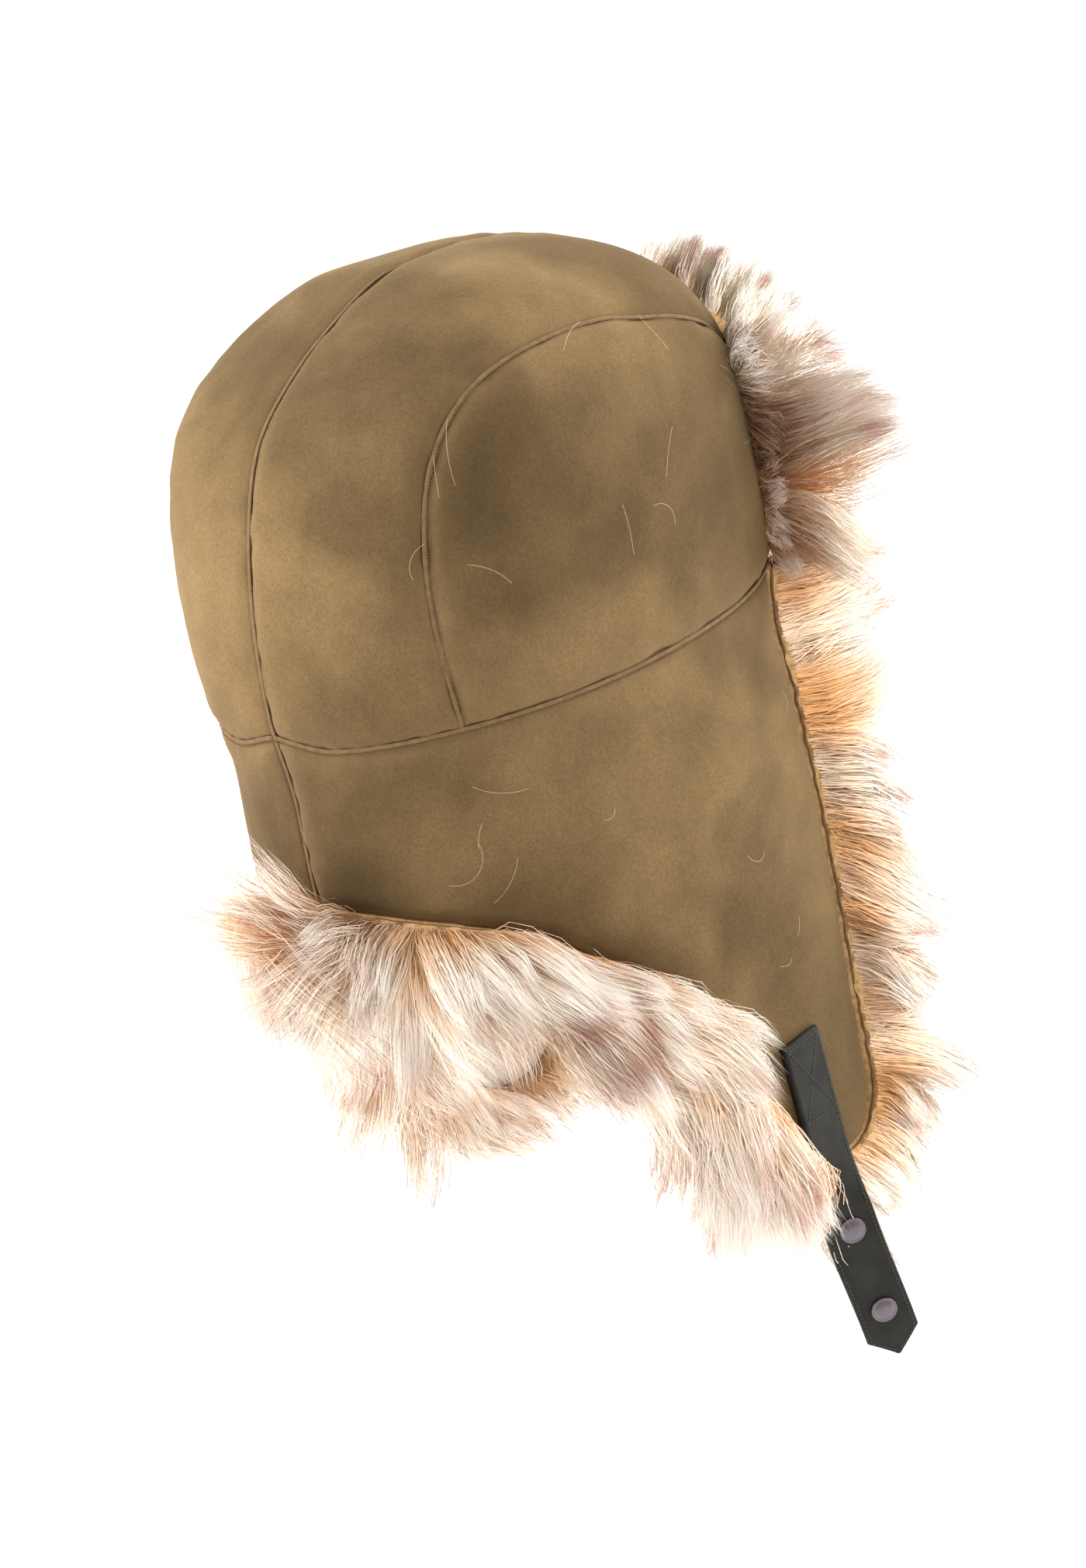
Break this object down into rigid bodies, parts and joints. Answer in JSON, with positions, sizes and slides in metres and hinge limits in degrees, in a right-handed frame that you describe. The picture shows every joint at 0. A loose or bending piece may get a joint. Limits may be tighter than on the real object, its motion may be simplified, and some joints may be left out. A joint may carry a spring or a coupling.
{
  "type": "shearling hat with ear flaps",
  "caption": "Sewn suede hat with long ear flaps, a turned-up front flap, long-haired fur trim round the hem and a leather chin strap with snaps.",
  "frame": {"origin": "middle of the head opening, level with the seam between the crown and the ear flaps", "axes": "+Z to the top of the crown, -Y to the wearer's face, -X to the wearer's right"},
  "size_m": [0.2506, 0.3401, 0.4345],
  "materials": {
    "suede": "olive-tan suede with a short matt nap",
    "fur": "long cream fur with caramel roots and red-brown tips",
    "strap_leather": "matt charcoal",
    "gunmetal": "satin gunmetal"
  },
  "bodies": {
    "root": {"crown_side_right": "suede", "crown_side_left": "suede", "crown_centre_right": "suede", "crown_centre_left": "suede", "ear_flap_right": "suede", "ear_flap_left": "suede", "front_flap": "fur", "fur_trim_right": "fur", "fur_trim_left": "fur", "chin_strap": "strap_leather", "snap_cap_lower": "gunmetal", "snap_cap_upper": "gunmetal", "snap_stud_left": "gunmetal"}
  },
  "joints": []
}
